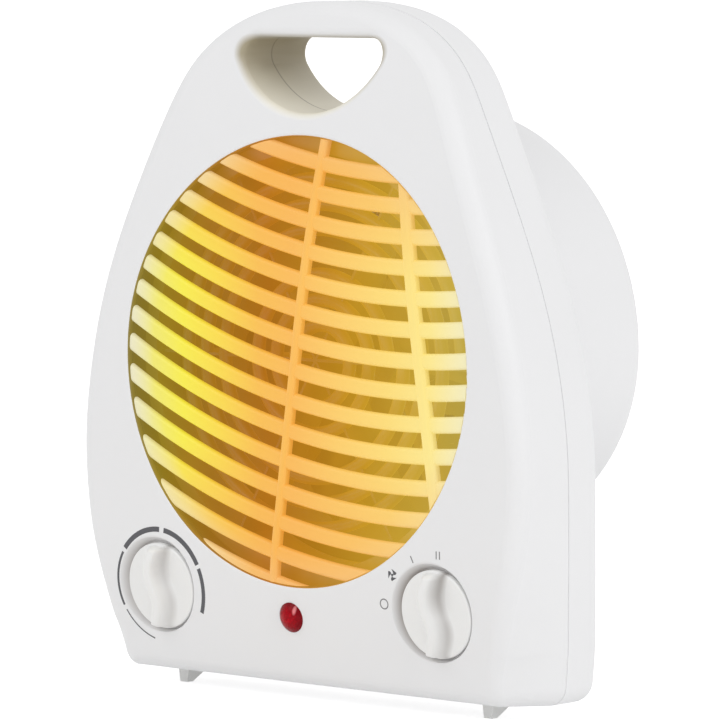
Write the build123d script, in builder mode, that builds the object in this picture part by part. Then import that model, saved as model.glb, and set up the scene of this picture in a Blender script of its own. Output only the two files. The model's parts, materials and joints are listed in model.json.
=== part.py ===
"""Fan heater with a round front grille, two knobs, a carrying slot and a round drum behind.

Millimetres. X runs to the right, the front faces -Y and Z is up from the floor.
"""
import math
import os

from build123d import *

os.makedirs("parts", exist_ok=True)

# Casing outline, seen from the front
height = 250.2
half_width = 105.6
floor_gap = 6.2
outline_steps = (
    # share of the height, then shares of the half width in front of the face and at the seam
    (0.9745, 0.313, 0.348),
    (0.9446, 0.463, 0.474),
    (0.9008, 0.583, 0.564),
    (0.8450, 0.663, 0.634),
    (0.7573, 0.749, 0.730),
    (0.6377, 0.859, 0.851),
    (0.5022, 0.950, 0.949),
    (0.3667, 0.992, 0.993),
    (0.2471, 0.962, 0.997),
    (0.1355, 0.864, 1.000),
)
front_base_share, seam_base_share = 0.700, 0.984
base_corner = 8.0
outline_spots = 14

# Casing depth and walls
face_y = -42.5
seam_y = -17.0
body_back_y = 2.5
drum_back_y = 51.2
wall = 2.2
face_edge = 6.5
back_edge = 7.0
seam_groove = 0.3
loft_lead = 6.0
block_back_y = 60.0
chin_z, chin_radius = 62.0, 193.0
brow_z, brow_radius = 131.0, 536.0
drum_z = 126.0
drum_radius = 85.5
drum_low_radius = 69.0
drum_edge = 6.0

# Carrying slot
slot_radius = 37.9
slot_top_drop = 13.0
slot_bottom_drop = 39.7
slot_corner = 6.5
slot_wall = 2.4
slot_front_lip, slot_back_lip = 3.0, 2.0

# Front grille
fan_z = 122.5
opening_radius = 80.0
opening_lip = 1.0
grille_gap = 0.4
grille_recess = 0.8
bar_depth = 3.4
bar_end_inset, bar_end_gap, bar_lip_gap = 1.0, 0.5, 0.4
grille_ring_inner, grille_ring_outer = 80.5, 84.2
slat_height = 5.5
slat_arc_radius = 275.0
slat_low_x = 52.0
top_gap_z = 195.0
slat_pitch = 10.5
slat_pitch_growth = 0.07
slat_count = 15
ribs_at = (
    ((8.3, 187.5), (-10.45, 48.0), 3.6),
    ((48.6, 185.3), (64.2, 81.5), 5.0),
)

# Knobs and panel
knob_inset, knob_z = 40.2, 37.7
knob_radius = 15.8
knob_base = 2.1
ridge_height, ridge_end_height = 6.4, 4.4
ridge_width = 7.0
ridge_swing = 3.2
dish_floor_radius, dish_mouth_radius = 16.3, 18.3
dish_lean = (-1.8, 0.5)
dish_depth = 2.6
dish_backing = 2.2
dish_rise = 0.8
spindle_radius = 2.5
spindle_gap = 0.4
spindle_grip = 4.0
bore_gap = 0.05
flat_depth = 0.8
post_x = 17.0
post_radius = 3.2
post_length = 4.2
post_pilot = 0.8
ear_half, ear_height, ear_thickness = 21.0, 9.0, 2.0
switch_half, switch_depth = 13.0, 16.0
switch_spindle_depth = 13.0
tab_width, tab_thickness, tab_length = 4.8, 0.8, 7.0
tab_spread = 8.0
thermostat_half, thermostat_half_height, thermostat_depth = 14.0, 8.0, 6.0
stand_width, stand_height = 3.0, 2.0
strip_length, strip_width, strip_thickness = 24.0, 6.0, 0.5
lens_x, lens_z = -2.7, 31.2
lens_radius = 5.5
lens_dome = 2.6
lens_stem_radius = 4.5
lens_stem_length = 8.0
lens_cap = 3.0
lamp_radius = 2.5
lamp_length = 11.0

# Fits between static pieces, how far cuts run on past what they cut, and screws
fit = 0.05
cut_past = 1.0
cut_far_past = 10.0
bore_spare = 1.0
screw_radius = 1.4
screw_hole = screw_radius + fit
screw_head_radius, screw_head = 2.8, 1.8
case_screw_radius = 1.6
case_head_radius, case_head = 3.2, 2.2
head_gap = 0.4
case_boss_radius = 5.2
case_screw_insets = ((59.6, 24.9), (17.6, 228.9))
case_seat_y = -6.0
case_screw_length = 22.0

# Heater
duct_radius = 75.0
duct_wall = 0.8
duct_back_y = -6.0
duct_flange_y = -33.3
duct_flange_radius = 85.0
duct_boss_ring = 88.0
duct_boss_radius = 3.4
duct_ear_radius = 4.4
duct_screw_length = 5.0
duct_boss_angles = (22.5, 157.5, 202.5, 337.5)
mica = 1.0
mica_front_y, mica_back_y = -30.0, -12.0
mica_arms = 3
coil_radius = 2.4
coil_y = -28.6
coil_pitch = 9.0
coil_seat = 0.1
outer_coil_start = 67.0
outer_coil_half_turns = 6
inner_coil_start = 33.0
inner_coil_half_turns = 5
cutout_radius, cutout_height = 8.0, 6.0
fuse_x, fuse_radius, fuse_length = 20.0, 1.6, 12.0

# Fan and motor
fan_radius = 64.0
fan_hub_radius = 12.0
fan_front_y, fan_back_y = 0.5, 17.5
blade_count = 6
blade_thickness = 1.6
blade_root_chord, blade_tip_chord = 17.0, 34.0
blade_root_angle, blade_tip_angle = 52.0, 24.0
shaft_radius = 2.0
running_gap = 0.04
bridge_y, bridge_thickness = 21.5, 1.2
bridge_width = 18.0
bridge_post_x = 75.0
bridge_post_radius = 4.0
bridge_screw_length = 9.0
bracket_thickness = 1.5
bracket_stand = 4.5
bracket_width = 14.0
bush_radius, bush_length = 4.0, 4.6
cup_radius = 6.0
stator_half_width = 25.0
stator_top, stator_bottom = 29.0, 41.0
stator_depth = 12.0
rotor_radius = 11.3
air_gap = 0.4
window_top, window_bottom, window_half = 22.5, 33.0, 15.0
winding_half = 12.0
winding_bulge = 6.0
bobbin_wall = 1.0
shaft_front_y = -1.5
clip_radius, clip_length = 4.5, 1.6
leg_radius = 3.4
bridge_hole = 6.5
bridge_end = 5.0
end_play = 0.2
motor_screw_x = 19.5

# Rear grille, feet and cord inlet
rear_grille_z = 126.0
rear_grille_radius = 64.0
rear_ring_first, rear_ring_last, rear_ring_step = 20.0, 57.0, 6.2
rear_slot_width = 3.4
rear_spokes = 8
rear_spoke_width = 3.5
rear_plate, rear_plate_sink = 1.6, 0.4
rear_flange, rear_flange_lap = 1.2, 2.5
foot_inset, foot_y = 33.1, -21.0
foot_length, foot_width, foot_tip = 13.5, 5.5, 3.5
foot_tip_length = 3.0
foot_peg_y, foot_peg_radius = -12.0, 1.6
rear_foot_inset, rear_foot_reach = 55.6, 34.0
rear_foot_width, rear_foot_top = 6.0, 50.0
rear_foot_toe, rear_foot_pad = 10.0, 14.0
rear_foot_screws_z = (18.0, 38.0)
foot_screw_length = 8.0
gland_z = 22.0
gland_bore, gland_body, gland_flange = 3.6, 5.4, 8.0
gland_length, gland_flange_thickness = 8.5, 2.0
terminal_x, terminal_y = 30.0, -10.5
terminal_length, terminal_depth, terminal_height = 20.0, 10.0, 12.0
terminal_hole, terminal_ways = 1.5, 3


def across(y):
    """Plane facing the front at depth y: its own x is X and its own y is Z."""
    return Plane.XZ.offset(-y)


def reach(start, end):
    """Extrusion amount that leads from depth start to depth end on an across() plane."""
    return start - end


def save(builder, name):
    builder.part.label = name
    export_step(builder.part, "parts/" + name + ".step")


def outline_points(column, base_share):
    """Points down the casing's right side, from one column of the outline's steps."""
    points = [(row[column] * half_width, row[0] * height) for row in outline_steps]
    return points + [(base_share * half_width, floor_gap)]


def casing_outline(points, inset):
    """Front view of the casing through points down its right side, drawn in by inset."""
    slope = (points[-1][0] - points[-2][0], points[-1][1] - points[-2][1])
    outer = Spline((0, height), *points, tangents=((1, 0), slope))
    spots = [spot / outline_spots for spot in range(outline_spots + 1)]
    inner = [outer @ spot + (outer % spot).rotate(Axis.Z, -90) * inset for spot in spots]
    with BuildSketch() as outline:
        with BuildLine():
            side = Spline(*inner, tangents=(outer % 0, outer % 1))
            Line(side @ 1, (0, (side @ 1).Y))
            mirror(about=Plane.YZ)
        make_face()
        with Locations((0, floor_gap + inset)):
            Rectangle(4 * half_width, 2 * height, align=(Align.CENTER, Align.MIN),
                      mode=Mode.INTERSECT)
        fillet(outline.vertices().group_by(Axis.Y)[0], base_corner - inset)
    return outline.sketch


def face_profile(inset):
    """Side view of everything behind the curved face drawn in by inset."""
    chin_end = (face_y + chin_radius - math.sqrt(chin_radius**2 - chin_z**2), 0)
    top = height + face_edge
    brow_rise = top - brow_z
    brow_end = (face_y + brow_radius - math.sqrt(brow_radius**2 - brow_rise**2), top)
    with BuildSketch() as profile:
        with BuildLine():
            chin = TangentArc((face_y, chin_z), chin_end, tangent=(0, -1))
            Line((face_y, chin_z), (face_y, brow_z))
            brow = TangentArc((face_y, brow_z), brow_end, tangent=(0, 1))
            Polyline(brow @ 1, (block_back_y, top), (block_back_y, 0), chin @ 1)
        make_face()
        if inset:
            offset(amount=-inset)
    return profile.sketch


def behind_face(inset):
    """Block behind the curved face drawn in by inset."""
    with BuildPart() as block:
        with BuildSketch(Plane.YZ):
            add(face_profile(inset))
        extrude(amount=half_width + loft_lead, both=True)
    return block.part


def front_form(inset):
    """Front half of the casing as a solid form, drawn in by inset."""
    front_outline = casing_outline(front_points, inset)
    seam_outline = casing_outline(seam_points, inset)
    face_block = behind_face(inset)
    with BuildPart() as form:
        with BuildSketch(across(face_y - loft_lead)):
            add(front_outline)
        with BuildSketch(across(seam_y)):
            add(seam_outline)
        loft(ruled=True)
        add(face_block, mode=Mode.INTERSECT)
        face = form.faces().filter_by(lambda f: f.normal_at(f.center()).Y < -0.6)
        middles = [tuple(round(v, 3) for v in (edge @ 0.5)) for edge in face.edges()]
        rim = [e for e in face.edges() if middles.count(tuple(round(v, 3) for v in (e @ 0.5))) == 1]
        fillet(rim, face_edge - inset)
    return form.part


def drum_outline(inset):
    """Round drum, drawn in below by two tighter arcs and a wide one."""
    shift = drum_radius - drum_low_radius
    knee = drum_low_radius * math.sqrt(0.5)
    low_radius = drum_low_radius + shift * math.sqrt(2)
    with BuildSketch() as outline:
        with BuildLine():
            top = CenterArc((0, drum_z), drum_radius, 0, 90)
            corner = TangentArc(top @ 0, (shift + knee, drum_z - knee), tangent=(0, -1))
            TangentArc(corner @ 1, (0, drum_z + shift - low_radius), tangent=corner % 1)
            mirror(about=Plane.YZ)
        make_face()
        if inset:
            offset(amount=-inset)
    return outline.sketch


def rear_form(inset):
    """Rear half of the casing with its drum as a solid form, drawn in by inset."""
    seam_outline = casing_outline(seam_points, inset)
    drum = drum_outline(inset)
    with BuildPart() as form:
        with BuildSketch(across(seam_y)):
            add(seam_outline)
        extrude(amount=-(body_back_y - inset - seam_y))
        fillet(form.faces().sort_by(Axis.Y)[-1].edges(), back_edge - inset)
        with BuildSketch(across(body_back_y - back_edge)):
            add(drum)
        extrude(amount=-(drum_back_y - inset - body_back_y + back_edge))
        fillet(form.faces().sort_by(Axis.Y)[-1].edges(), drum_edge - inset)
    return form.part


def slot_outline(grow):
    """Carrying slot: a bowl under a flat top, with round corners."""
    with BuildSketch() as outline:
        with Locations((0, height - slot_bottom_drop + slot_radius)):
            Circle(slot_radius)
        with Locations((0, height - slot_top_drop)):
            Rectangle(4 * slot_radius, 2 * slot_radius, align=(Align.CENTER, Align.MAX),
                      mode=Mode.INTERSECT)
        fillet(outline.vertices(), slot_corner)
        if grow:
            offset(amount=grow)
    return outline.sketch


def panel_plane(x, z):
    """Plane on the chin of the face at x and z, its normal pointing out of the casing."""
    lean = math.asin((chin_z - z) / chin_radius)
    y = face_y + chin_radius * (1 - math.cos(lean))
    return Plane(origin=(x, y, z), x_dir=(1, 0, 0), z_dir=(0, -math.cos(lean), -math.sin(lean)))


front_points = outline_points(1, front_base_share)
seam_points = outline_points(2, seam_base_share)
knob_x = half_width - knob_inset
foot_x = half_width - foot_inset
rear_foot_x = half_width - rear_foot_inset
left_panel = panel_plane(-knob_x, knob_z)
right_panel = panel_plane(knob_x, knob_z)
lens_panel = panel_plane(lens_x, lens_z)
grille_back_y = duct_flange_y
slot_floor = height - slot_bottom_drop
duct_boss_points = [
    (duct_boss_ring * math.cos(math.radians(a)), fan_z + duct_boss_ring * math.sin(math.radians(a)))
    for a in duct_boss_angles
]
case_points = [
    (side * (half_width - inset), height - drop)
    for inset, drop in case_screw_insets
    for side in (-1, 1)
]
post_back = -(dish_depth + dish_backing + post_length)
dish_grow = 1 + dish_rise / dish_depth
ear_back = post_back - ear_thickness
fan_axis = Axis((0, 0, fan_z), (0, 1, 0))
bridge_back_y = bridge_y + bridge_thickness
stator_front_y = bridge_back_y + bracket_thickness + bracket_stand
stator_back_y = stator_front_y + stator_depth
motor_back_y = stator_back_y + bracket_stand + bracket_thickness
foot_screw_points = [(side * rear_foot_x, z) for z in rear_foot_screws_z for side in (-1, 1)]

# Shadow line round the casing where the shells meet
groove_floor = casing_outline(seam_points, seam_groove)
with BuildSketch(across(seam_y)) as groove:
    Rectangle(4 * half_width, 4 * height)
    add(groove_floor, mode=Mode.SUBTRACT)

# Front shell: face, sides, half of the slot's wall, screw bosses and the two knob dishes
with BuildPart() as outer_front:
    add(front_form(0))
    extrude(groove.sketch, amount=seam_groove, mode=Mode.SUBTRACT)
    with BuildSketch(across(seam_y)):
        add(slot_outline(0))
    extrude(amount=reach(seam_y, face_y - cut_far_past), mode=Mode.SUBTRACT)
    slot_rim = outer_front.edges().filter_by(
        lambda e: max((e @ 0).Y, (e @ 0.5).Y, (e @ 1).Y) < seam_y - wall
        and abs((e @ 0.5).X) < slot_radius
        and slot_floor - wall < (e @ 0.5).Z < height - slot_top_drop + wall
    )
    fillet(slot_rim, slot_front_lip)
    with BuildSketch(across(grille_back_y)):
        with Locations((0, fan_z)):
            Circle(opening_radius)
    extrude(amount=reach(grille_back_y, face_y - cut_far_past), mode=Mode.SUBTRACT)
    mouth = outer_front.edges().filter_by(
        lambda e: (e @ 0.5).Y < grille_back_y - wall / 2
        and abs(math.dist(((e @ 0.5).X, (e @ 0.5).Z), (0, fan_z)) - opening_radius) < fit
    )
    fillet(mouth, opening_lip)
inner_front = front_form(wall)
with BuildPart() as front_inside:
    with BuildSketch(across(seam_y)):
        add(slot_outline(slot_wall))
        with Locations(*case_points):
            Circle(case_boss_radius)
    extrude(amount=reach(seam_y, face_y))
    with BuildSketch(across(duct_flange_y)):
        with Locations(*duct_boss_points):
            Circle(duct_boss_radius)
    extrude(amount=reach(duct_flange_y, face_y))
    for panel in (left_panel, right_panel):
        with BuildSketch(panel.offset(post_back + post_length)):
            Circle(dish_mouth_radius + wall)
        extrude(amount=dish_depth + dish_backing - dish_rise)
        with BuildSketch(panel.offset(post_back)):
            with Locations((-post_x, 0), (post_x, 0)):
                Circle(post_radius)
        extrude(amount=post_length)
    add(outer_front.part, mode=Mode.INTERSECT)

with BuildPart() as front_shell:
    add(outer_front.part)
    add(inner_front, mode=Mode.SUBTRACT)
    add(front_inside.part)
    with BuildSketch(across(seam_y)):
        with Locations(*case_points):
            Circle(case_screw_radius + fit)
    extrude(amount=reach(seam_y, case_seat_y - case_screw_length - bore_spare), mode=Mode.SUBTRACT)
    with BuildSketch(across(duct_flange_y)):
        with Locations(*duct_boss_points):
            Circle(screw_hole)
    extrude(amount=duct_screw_length, mode=Mode.SUBTRACT)
    for panel in (left_panel, right_panel):
        with BuildSketch(panel.offset(-dish_depth)):
            Circle(dish_floor_radius)
        with BuildSketch(panel.offset(dish_rise)):
            with Locations((dish_lean[0] * dish_grow, dish_lean[1] * dish_grow)):
                Circle(dish_floor_radius + (dish_mouth_radius - dish_floor_radius) * dish_grow)
        loft(mode=Mode.SUBTRACT)
        with BuildSketch(panel.offset(post_back + post_length - cut_past)):
            Circle(spindle_radius + spindle_gap)
        extrude(amount=dish_backing + 2 * cut_past, mode=Mode.SUBTRACT)
        with BuildSketch(panel.offset(post_back)):
            with Locations((-post_x, 0), (post_x, 0)):
                Circle(screw_hole)
        extrude(amount=post_length + post_pilot, mode=Mode.SUBTRACT)
    with BuildSketch(lens_panel.offset(-wall - cut_past)):
        Circle(lens_stem_radius + fit)
    extrude(amount=wall + 2 * cut_past, mode=Mode.SUBTRACT)
save(front_shell, "front_shell")

# Rear shell: back half of the sides, the drum, screw bosses and the posts of the motor bridge
with BuildPart() as outer_rear:
    add(rear_form(0))
    extrude(groove.sketch, amount=-seam_groove, mode=Mode.SUBTRACT)
    with BuildSketch(across(seam_y)):
        add(slot_outline(0))
    extrude(amount=reach(seam_y, body_back_y + cut_past), mode=Mode.SUBTRACT)
    slot_back_rim = outer_rear.edges().filter_by(
        lambda e: abs((e @ 0.5).Y - body_back_y) < fit
        and abs((e @ 0.5).X) < slot_radius
        and slot_floor - wall < (e @ 0.5).Z < height - slot_top_drop + wall
    )
    fillet(slot_back_rim, slot_back_lip)
inner_rear = rear_form(wall)
bridge_points = [(-bridge_post_x, fan_z), (bridge_post_x, fan_z)]
with BuildPart() as rear_inside:
    with BuildSketch(across(seam_y)):
        add(slot_outline(slot_wall))
        with Locations(*case_points):
            Circle(case_boss_radius)
    extrude(amount=reach(seam_y, body_back_y))
    with BuildSketch(across(bridge_back_y)):
        with Locations(*bridge_points):
            Circle(bridge_post_radius)
    extrude(amount=reach(bridge_back_y, drum_back_y))
    add(outer_rear.part, mode=Mode.INTERSECT)

with BuildPart() as rear_shell:
    add(outer_rear.part)
    add(inner_rear, mode=Mode.SUBTRACT)
    add(rear_inside.part)
    with BuildSketch(across(seam_y)):
        with Locations(*case_points):
            Circle(case_screw_radius + fit)
    extrude(amount=reach(seam_y, body_back_y + cut_past), mode=Mode.SUBTRACT)
    with BuildSketch(across(case_seat_y)):
        with Locations(*case_points):
            Circle(case_head_radius + head_gap)
    extrude(amount=reach(case_seat_y, body_back_y + cut_past), mode=Mode.SUBTRACT)
    with BuildSketch(across(bridge_back_y)):
        with Locations(*bridge_points):
            Circle(screw_hole)
    extrude(amount=-bridge_screw_length, mode=Mode.SUBTRACT)
    with BuildSketch(across(drum_back_y - wall - cut_past)):
        with Locations((0, rear_grille_z)):
            Circle(rear_grille_radius)
    extrude(amount=-(wall + 2 * cut_past), mode=Mode.SUBTRACT)
    with BuildSketch(across(body_back_y - wall - cut_past)):
        with Locations((0, gland_z)):
            Circle(gland_body + fit)
        with Locations(*foot_screw_points):
            Circle(screw_hole)
    extrude(amount=-(wall + 2 * cut_past), mode=Mode.SUBTRACT)
    with BuildSketch(Plane.XY.offset(floor_gap - cut_past)):
        with Locations((-foot_x, foot_peg_y), (foot_x, foot_peg_y)):
            Circle(foot_peg_radius + fit)
    extrude(amount=wall + 2 * cut_past, mode=Mode.SUBTRACT)
save(rear_shell, "rear_shell")


def slat_low(index):
    """Height of a slat's centre line at its lowest point, counted from the top."""
    drop = slat_pitch * (index + 0.5) + slat_pitch_growth * index * index / 2
    return top_gap_z - drop


# Front grille: arched slats and two leaning ribs on a ring behind the opening's edge
with BuildSketch(across(grille_back_y)) as bar_pattern:
    for index in range(slat_count):
        with BuildSketch(mode=Mode.PRIVATE) as slat:
            with Locations((slat_low_x, slat_low(index) + slat_arc_radius)):
                Circle(slat_arc_radius + slat_height / 2)
                Circle(slat_arc_radius - slat_height / 2, mode=Mode.SUBTRACT)
            with Locations((0, fan_z)):
                Circle(grille_ring_outer - bar_end_inset, mode=Mode.INTERSECT)
        add(slat.sketch)
    with BuildSketch(mode=Mode.PRIVATE) as ribs:
        for (top_x, top_z), (low_x, low_z), width in ribs_at:
            with Locations(((top_x + low_x) / 2, (top_z + low_z) / 2)):
                turn = math.degrees(math.atan2(low_x - top_x, top_z - low_z))
                Rectangle(width, 3 * opening_radius, rotation=turn)
        with Locations((0, fan_z)):
            Circle(grille_ring_outer - bar_end_inset, mode=Mode.INTERSECT)
    add(ribs.sketch)

ring_front = behind_face(wall + fit)
room_front = behind_face(wall + bar_lip_gap)
bar_front = behind_face(grille_recess)
bar_back = behind_face(grille_recess + bar_depth)
with BuildPart() as grille_room:
    with BuildSketch(across(grille_back_y)):
        with Locations((0, fan_z)):
            Circle(grille_ring_outer - bar_end_gap)
    extrude(amount=reach(grille_back_y, face_y - cut_far_past))
    add(room_front, mode=Mode.INTERSECT)
with BuildPart() as grille_front_room:
    with BuildSketch(across(grille_back_y)):
        with Locations((0, fan_z)):
            Circle(opening_radius - grille_gap)
    extrude(amount=reach(grille_back_y, face_y - cut_far_past))
    add(bar_front, mode=Mode.INTERSECT)
with BuildPart() as bar_room:
    add(grille_room.part)
    add(grille_front_room.part)
    add(bar_back, mode=Mode.SUBTRACT)
with BuildPart() as grille_ring:
    with BuildSketch(across(grille_back_y)):
        with Locations((0, fan_z)):
            Circle(grille_ring_outer)
            Circle(grille_ring_inner, mode=Mode.SUBTRACT)
    extrude(amount=reach(grille_back_y, face_y))
    add(ring_front, mode=Mode.INTERSECT)
with BuildPart() as front_grille:
    with BuildSketch(across(grille_back_y)):
        add(bar_pattern.sketch)
    extrude(amount=reach(grille_back_y, face_y - cut_far_past))
    add(bar_room.part, mode=Mode.INTERSECT)
    add(grille_ring.part)
save(front_grille, "front_grille")


def section_plane(panel):
    """Plane through a panel's axis: its own x is the radius and its own y points outwards."""
    return Plane(origin=panel.origin, x_dir=panel.x_dir, z_dir=-panel.y_dir)


def screws(name, plane, points, radius, head_radius, head, length, out=1):
    """Screws with their heads on a plane, on the side it faces, or behind it where out is -1."""
    with BuildPart() as group:
        with BuildSketch(plane):
            with Locations(*points):
                Circle(head_radius)
        extrude(amount=out * head)
        with BuildSketch(plane):
            with Locations(*points):
                Circle(radius)
        extrude(amount=-out * length)
    save(group, name)


# Rear grille: rings of slots crossed by spokes, with a flange behind the drum's back wall
rear_wall_y = drum_back_y - wall
rear_plate_y = drum_back_y - rear_plate_sink - rear_plate
rear_ring_count = int((rear_ring_last - rear_ring_first) / rear_ring_step) + 1
with BuildSketch() as rear_slots:
    for ring in range(rear_ring_count):
        radius = rear_ring_first + ring * rear_ring_step
        with BuildSketch(mode=Mode.PRIVATE) as slot_ring:
            Circle(radius + rear_slot_width / 2)
            Circle(radius - rear_slot_width / 2, mode=Mode.SUBTRACT)
        add(slot_ring.sketch)
    for spoke in range(rear_spokes // 2):
        Rectangle(rear_spoke_width, 3 * rear_grille_radius, rotation=spoke * 360 / rear_spokes,
                  mode=Mode.SUBTRACT)

with BuildPart() as rear_grille:
    with BuildSketch(across(rear_wall_y)):
        with Locations((0, rear_grille_z)):
            Circle(rear_grille_radius + rear_flange_lap)
            Circle(rear_grille_radius - rear_flange_lap, mode=Mode.SUBTRACT)
    extrude(amount=rear_flange)
    with BuildSketch(across(rear_wall_y)):
        with Locations((0, rear_grille_z)):
            Circle(rear_grille_radius - fit)
            Circle(rear_grille_radius - rear_flange_lap, mode=Mode.SUBTRACT)
    extrude(amount=reach(rear_wall_y, rear_plate_y + rear_plate))
    with BuildSketch(across(rear_plate_y)):
        with Locations((0, rear_grille_z)):
            Circle(rear_grille_radius - rear_flange_lap / 2)
    extrude(amount=-rear_plate)
    with BuildSketch(across(rear_plate_y - cut_past)):
        with Locations((0, rear_grille_z)):
            add(rear_slots.sketch)
    extrude(amount=-(rear_plate + 2 * cut_past), mode=Mode.SUBTRACT)
save(rear_grille, "rear_grille")

# Feet: two wedges with pegs under the front, two fins screwed to the back
for name, side in (("front_foot_left", -1), ("front_foot_right", 1)):
    with BuildPart() as front_foot:
        with BuildSketch(Plane.XY.offset(floor_gap)):
            with Locations((side * foot_x, foot_y + foot_length / 2)):
                Rectangle(foot_width, foot_length)
        with BuildSketch(Plane.XY):
            with Locations((side * foot_x, foot_y + foot_tip_length / 2)):
                Rectangle(foot_tip, foot_tip_length)
        loft()
        with BuildSketch(Plane.XY.offset(floor_gap)):
            with Locations((side * foot_x, foot_peg_y)):
                Circle(foot_peg_radius)
        extrude(amount=wall + foot_peg_radius)
    save(front_foot, name)

for name, side in (("rear_foot_left", -1), ("rear_foot_right", 1)):
    with BuildPart() as rear_foot:
        with BuildSketch(Plane.YZ.offset(side * rear_foot_x)):
            with BuildLine():
                Polyline(
                    (body_back_y, rear_foot_top),
                    (body_back_y + rear_foot_width, rear_foot_top),
                    (rear_foot_reach, rear_foot_toe),
                    (rear_foot_reach, 0),
                    (rear_foot_reach - rear_foot_pad, 0),
                    (body_back_y, floor_gap + back_edge),
                    close=True,
                )
            make_face()
        extrude(amount=rear_foot_width / 2, both=True)
        with BuildSketch(across(body_back_y)):
            with Locations(*foot_screw_points):
                Circle(screw_hole)
        extrude(amount=-foot_screw_length, mode=Mode.SUBTRACT)
    save(rear_foot, name)
screws("foot_screws", across(body_back_y - wall), foot_screw_points, screw_radius,
       screw_head_radius, screw_head, foot_screw_length)

# Indicator: a domed lens with a hollow stem and the lamp inside it
with BuildPart() as indicator_lens:
    with BuildSketch(section_plane(lens_panel)):
        with BuildLine():
            dome = TangentArc((0, lens_dome), (lens_radius, 0), tangent=(1, 0))
            Polyline(
                dome @ 1,
                (lens_stem_radius, 0),
                (lens_stem_radius, -lens_stem_length),
                (lamp_radius + fit, -lens_stem_length),
                (lamp_radius + fit, -lens_cap),
                (0, -lens_cap),
                dome @ 0,
            )
        make_face()
    revolve(axis=Axis(lens_panel.origin, lens_panel.z_dir))
save(indicator_lens, "indicator_lens")

with BuildPart() as neon_lamp:
    with BuildSketch(lens_panel.offset(-lens_cap)):
        Circle(lamp_radius)
    extrude(amount=-lamp_length)
save(neon_lamp, "neon_lamp")


def ridge_outline():
    """Plan of a knob's grip: a bar of even width that swings left above and right below."""
    half = ridge_width / 2
    swing = ridge_swing / 2
    with BuildSketch() as outline:
        with BuildLine():
            ThreePointArc((half, -knob_radius), (half + swing, -knob_radius / 2), (half, 0))
            ThreePointArc((half, 0), (half - swing, knob_radius / 2), (half, knob_radius))
            Line((half, knob_radius), (-half, knob_radius))
            ThreePointArc((-half, knob_radius), (-half - swing, knob_radius / 2), (-half, 0))
            ThreePointArc((-half, 0), (-half + swing, -knob_radius / 2), (-half, -knob_radius))
            Line((-half, -knob_radius), (half, -knob_radius))
        make_face()
    return outline.sketch


def spindle_section(gap):
    """Round spindle with one flat, larger by a gap."""
    with BuildSketch() as section:
        Circle(spindle_radius + gap)
        with Locations((0, spindle_radius - flat_depth + gap)):
            Rectangle(4 * spindle_radius, 2 * spindle_radius, align=(Align.CENTER, Align.MIN),
                      mode=Mode.SUBTRACT)
    return section.sketch


arch_rise = ridge_height - ridge_end_height
arch_radius = (knob_radius**2 + arch_rise**2) / (2 * arch_rise)
for name, panel in (("thermostat_knob", left_panel), ("selector_knob", right_panel)):
    with BuildPart() as knob_room:
        with BuildSketch(section_plane(panel)):
            Rectangle(2 * knob_radius, 2 * ridge_height)
        extrude(amount=knob_radius, both=True)
        with BuildSketch(panel.offset(-knob_base)):
            Circle(knob_radius)
        extrude(amount=knob_base + ridge_height, mode=Mode.INTERSECT)
        with BuildSketch(Plane(origin=panel.origin, x_dir=panel.y_dir, z_dir=panel.x_dir)):
            with Locations((0, ridge_height - arch_radius)):
                Circle(arch_radius)
        extrude(amount=knob_radius, both=True, mode=Mode.INTERSECT)
    with BuildPart() as knob:
        with BuildSketch(panel.offset(-knob_base)):
            add(ridge_outline())
        extrude(amount=knob_base + ridge_height)
        add(knob_room.part, mode=Mode.INTERSECT)
        with BuildSketch(panel.offset(-knob_base)):
            Circle(knob_radius)
        extrude(amount=knob_base)
        with BuildSketch(panel.offset(-knob_base)):
            add(spindle_section(bore_gap))
        extrude(amount=spindle_grip, mode=Mode.SUBTRACT)
    save(knob, name)

# Spindles: round shafts with a flat where the knob grips them
spindle_tip = spindle_grip - knob_base - end_play
for name, panel, tail in (
    ("thermostat_spindle", left_panel, post_back - ear_thickness - thermostat_depth - end_play),
    ("selector_spindle", right_panel, post_back - switch_spindle_depth),
):
    with BuildPart() as spindle:
        with BuildSketch(panel.offset(tail)):
            Circle(spindle_radius)
        extrude(amount=-knob_base - end_play - tail)
        with BuildSketch(panel.offset(tail)):
            add(spindle_section(0))
        extrude(amount=spindle_tip - tail)
    save(spindle, name)

# Thermostat: a base with ears on its posts and a bimetal strip on a stand
post_points = ((-post_x, 0), (post_x, 0))
with BuildPart() as thermostat_base:
    with BuildSketch(left_panel.offset(post_back)):
        Rectangle(2 * ear_half, ear_height)
    extrude(amount=-ear_thickness)
    with BuildSketch(left_panel.offset(ear_back)):
        Rectangle(2 * thermostat_half, 2 * thermostat_half_height)
    extrude(amount=-thermostat_depth)
    with BuildSketch(left_panel.offset(ear_back - thermostat_depth)):
        with Locations((stand_width / 2 - thermostat_half, 0)):
            Rectangle(stand_width, strip_width)
    extrude(amount=-stand_height)
    with BuildSketch(left_panel.offset(post_back)):
        with Locations(*post_points):
            Circle(screw_hole)
        Circle(spindle_radius + bore_gap)
    extrude(amount=-(ear_thickness + thermostat_depth), mode=Mode.SUBTRACT)
save(thermostat_base, "thermostat_base")

with BuildPart() as bimetal_strip:
    with BuildSketch(left_panel.offset(ear_back - thermostat_depth - stand_height)):
        with Locations((strip_length / 2 - thermostat_half, 0)):
            Rectangle(strip_length, strip_width)
    extrude(amount=-strip_thickness)
save(bimetal_strip, "bimetal_strip")

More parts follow.
